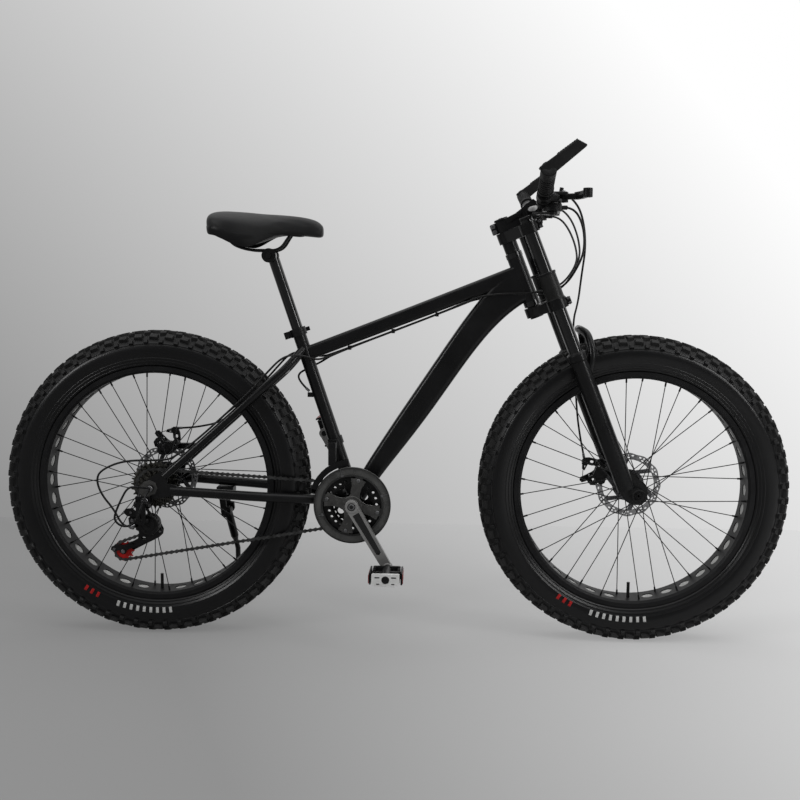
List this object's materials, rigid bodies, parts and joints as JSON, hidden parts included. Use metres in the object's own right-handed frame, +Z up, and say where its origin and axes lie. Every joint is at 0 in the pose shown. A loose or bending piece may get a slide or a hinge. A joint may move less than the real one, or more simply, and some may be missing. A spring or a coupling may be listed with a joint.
{
  "type": "fat tire bicycle",
  "caption": "Mountain bicycle with very wide knobbly tires, double-crown suspension fork, disc brakes, derailleur gears, bar-end horns and a side stand.",
  "frame": {"origin": "on the ground midway between the two wheel axles, in the bicycle's middle plane", "axes": "+X forward, +Y to the rider's left, +Z up"},
  "size_m": [1.899, 0.7028, 1.158],
  "materials": {
    "frame_black": "satin black paint",
    "fork_gloss": "gloss black",
    "sleeve_grey": "dark grey satin",
    "steel": "satin steel",
    "black_steel": "black plated",
    "tire": "matte",
    "rubber": "matte",
    "plastic": "matte",
    "guard_grey": "satin dark grey",
    "cover": "matte synthetic leather",
    "pedal": "cast satin",
    "red_pulley": "satin red"
  },
  "bodies": {
    "frame": {"main_frame": "frame_black", "rear_triangle": "frame_black", "headset": "black_steel", "bottom_bracket": "black_steel", "seat_clamp": "frame_black", "front_derailleur_clamp": "black_steel", "kickstand_bracket": "black_steel", "rear_caliper": "frame_black", "rear_axle": "black_steel", "rear_derailleur_mount": "black_steel", "chain": "steel", "rear_cables": "plastic"},
    "seat_lever": {"seat_clamp_lever": "black_steel"},
    "seatpost": {"seatpost": "frame_black"},
    "saddle": {"saddle_base": "plastic", "saddle_cover": "cover", "saddle_clamp": "black_steel"},
    "crank": {"crank_axle": "black_steel", "crank_arms": "frame_black", "chainrings": "steel", "chain_guard": "guard_grey"},
    "right_pedal": {"right_pedal": "pedal"},
    "left_pedal": {"left_pedal": "pedal"},
    "freewheel": {"freewheel": "steel"},
    "front_derailleur_cage": {"front_derailleur_cage": "black_steel"},
    "rear_derailleur_link": {"rear_derailleur_link": "black_steel"},
    "rear_derailleur_knuckle": {"rear_derailleur_knuckle": "black_steel"},
    "rear_derailleur_cage": {"rear_derailleur_cage": "black_steel"},
    "upper_pulley": {"upper_pulley": "plastic"},
    "lower_pulley": {"lower_pulley": "red_pulley"},
    "kickstand_leg": {"kickstand_leg": "black_steel"},
    "steer": {"fork_crowns": "fork_gloss", "stanchions": "fork_gloss", "stanchion_sleeves": "sleeve_grey", "stem": "frame_black", "handlebar": "black_steel", "grips": "rubber", "lever_mounts": "plastic", "front_brake_cable": "plastic"},
    "right_brake_lever": {"right_brake_lever": "frame_black"},
    "left_brake_lever": {"left_brake_lever": "frame_black"},
    "right_shift_lever": {"right_shift_lever": "plastic"},
    "left_shift_lever": {"left_shift_lever": "plastic"},
    "fork_lowers": {"fork_lowers": "fork_gloss", "front_caliper": "frame_black", "front_axle": "black_steel"},
    "front_wheel": {"front_tire": "tire", "front_inner_tube": "rubber", "front_rim": "frame_black", "front_spokes": "black_steel", "front_hub": "frame_black", "front_rotor": "steel"},
    "rear_wheel": {"rear_tire": "tire", "rear_inner_tube": "rubber", "rear_rim": "frame_black", "rear_spokes": "black_steel", "rear_hub": "frame_black", "rear_rotor": "steel"},
    "front_caliper_arm": {"front_caliper_arm": "black_steel"},
    "rear_caliper_arm": {"rear_caliper_arm": "black_steel"}
  },
  "joints": [
    {"name": "steering", "type": "hinge", "parent": "frame", "child": "steer", "pos_m": [0.304, 0, 0.875], "axis": [-0.3697, 0, 0.9291], "range_deg": [-40, 40], "deforming": ["rear_cables", "front_brake_cable"]},
    {"name": "fork_slide", "type": "slide", "parent": "steer", "child": "fork_lowers", "axis": [-0.3697, 0, 0.9291], "range_m": [0, 0.06], "stiffness_N_per_m": 4000, "springref_m": -0.03, "deforming": ["front_brake_cable"]},
    {"name": "front_wheel_spin", "type": "hinge", "parent": "fork_lowers", "child": "front_wheel", "pos_m": [0.577, 0, 0.3725], "axis": [0, 1, 0], "continuous": true},
    {"name": "rear_wheel_spin", "type": "hinge", "parent": "frame", "child": "rear_wheel", "pos_m": [-0.577, 0, 0.3725], "axis": [0, 1, 0], "continuous": true},
    {"name": "crank_spin", "type": "hinge", "parent": "frame", "child": "crank", "pos_m": [-0.096, 0, 0.337], "axis": [0, 1, 0], "continuous": true, "deforming": ["chain"]},
    {"name": "right_pedal_spin", "type": "hinge", "parent": "crank", "child": "right_pedal", "pos_m": [-0.00972, -0.16, 0.19052], "axis": [0, 1, 0], "continuous": true},
    {"name": "left_pedal_spin", "type": "hinge", "parent": "crank", "child": "left_pedal", "pos_m": [-0.18228, 0.16, 0.48348], "axis": [0, 1, 0], "continuous": true},
    {"name": "freewheel_spin", "type": "hinge", "parent": "frame", "child": "freewheel", "pos_m": [-0.577, -0.063, 0.3725], "axis": [0, 1, 0], "continuous": true, "deforming": ["chain"]},
    {"name": "front_derailleur_shift", "type": "slide", "parent": "frame", "child": "front_derailleur_cage", "axis": [0, -1, 0], "range_m": [0, 0.014], "stiffness_N_per_m": 300, "springref_m": -0.005, "deforming": ["chain"]},
    {"name": "rear_derailleur_swing", "type": "hinge", "parent": "frame", "child": "rear_derailleur_link", "pos_m": [-0.595, -0.1095, 0.336], "axis": [1, 0, 0], "range_deg": [-20, 20], "stiffness_Nm_per_rad": 3, "deforming": ["chain", "rear_cables"]},
    {"name": "rear_derailleur_counter", "type": "hinge", "parent": "rear_derailleur_link", "child": "rear_derailleur_knuckle", "pos_m": [-0.595, -0.1115, 0.297], "axis": [1, 0, 0], "range_deg": [-20, 20], "deforming": ["chain", "rear_cables"]},
    {"name": "rear_derailleur_tension", "type": "hinge", "parent": "rear_derailleur_knuckle", "child": "rear_derailleur_cage", "pos_m": [-0.602, -0.08, 0.279], "axis": [0, 1, 0], "range_deg": [-50, 20], "stiffness_Nm_per_rad": 3, "deforming": ["chain", "rear_cables"]},
    {"name": "upper_pulley_spin", "type": "hinge", "parent": "rear_derailleur_cage", "child": "upper_pulley", "pos_m": [-0.602, -0.063, 0.279], "axis": [0, 1, 0], "continuous": true, "deforming": ["chain"]},
    {"name": "lower_pulley_spin", "type": "hinge", "parent": "rear_derailleur_cage", "child": "lower_pulley", "pos_m": [-0.6524, -0.063, 0.2118], "axis": [0, 1, 0], "continuous": true, "deforming": ["chain"]},
    {"name": "right_brake_squeeze", "type": "hinge", "parent": "steer", "child": "right_brake_lever", "pos_m": [0.374, -0.196, 1.053], "axis": [0, 0, -1], "range_deg": [0, 16], "stiffness_Nm_per_rad": 2, "springref_deg": -11.46},
    {"name": "left_brake_squeeze", "type": "hinge", "parent": "steer", "child": "left_brake_lever", "pos_m": [0.374, 0.196, 1.053], "axis": [0, 0, 1], "range_deg": [0, 16], "stiffness_Nm_per_rad": 2, "springref_deg": -11.46},
    {"name": "front_caliper_pull", "type": "hinge", "parent": "fork_lowers", "child": "front_caliper_arm", "pos_m": [0.50558, 0.06, 0.39849], "axis": [0, 1, 0], "range_deg": [0, 14], "deforming": ["front_brake_cable"]},
    {"name": "rear_caliper_pull", "type": "hinge", "parent": "frame", "child": "rear_caliper_arm", "pos_m": [-0.57435, 0.076, 0.44845], "axis": [0, 1, 0], "range_deg": [0, 14], "deforming": ["rear_cables"]},
    {"name": "right_shift_push", "type": "hinge", "parent": "steer", "child": "right_shift_lever", "pos_m": [0.352, -0.172, 1.02], "axis": [0, 0, 1], "range_deg": [0, 30], "stiffness_Nm_per_rad": 0.6},
    {"name": "left_shift_push", "type": "hinge", "parent": "steer", "child": "left_shift_lever", "pos_m": [0.352, 0.172, 1.02], "axis": [0, 0, -1], "range_deg": [0, 30], "stiffness_Nm_per_rad": 0.6},
    {"name": "kickstand_swing", "type": "hinge", "parent": "frame", "child": "kickstand_leg", "pos_m": [-0.429, 0.095, 0.282], "axis": [0.1415, 0.9203, 0.3647], "range_deg": [0, 100]},
    {"name": "seatpost_height", "type": "slide", "parent": "frame", "child": "seatpost", "axis": [-0.3223, 0, 0.9466], "range_m": [-0.1, 0.06]},
    {"name": "saddle_tilt", "type": "hinge", "parent": "seatpost", "child": "saddle", "pos_m": [-0.302, 0, 0.926], "axis": [0, 1, 0], "range_deg": [-10, 10]},
    {"name": "seat_clamp_open", "type": "hinge", "parent": "frame", "child": "seat_lever", "pos_m": [-0.26013, 0.0186, 0.73536], "axis": [-0.3223, 0, 0.9466], "range_deg": [0, 150]}
  ],
  "couplings": [
    {"joint": "freewheel_spin", "follows": "crank_spin", "ratio": 1.2},
    {"joint": "upper_pulley_spin", "follows": "crank_spin", "ratio": -2.1818},
    {"joint": "lower_pulley_spin", "follows": "crank_spin", "ratio": 2.1818},
    {"joint": "rear_derailleur_counter", "follows": "rear_derailleur_swing", "ratio": -1},
    {"joint": "front_caliper_pull", "follows": "right_brake_squeeze", "ratio": 0.8},
    {"joint": "rear_caliper_pull", "follows": "left_brake_squeeze", "ratio": 0.8}
  ]
}
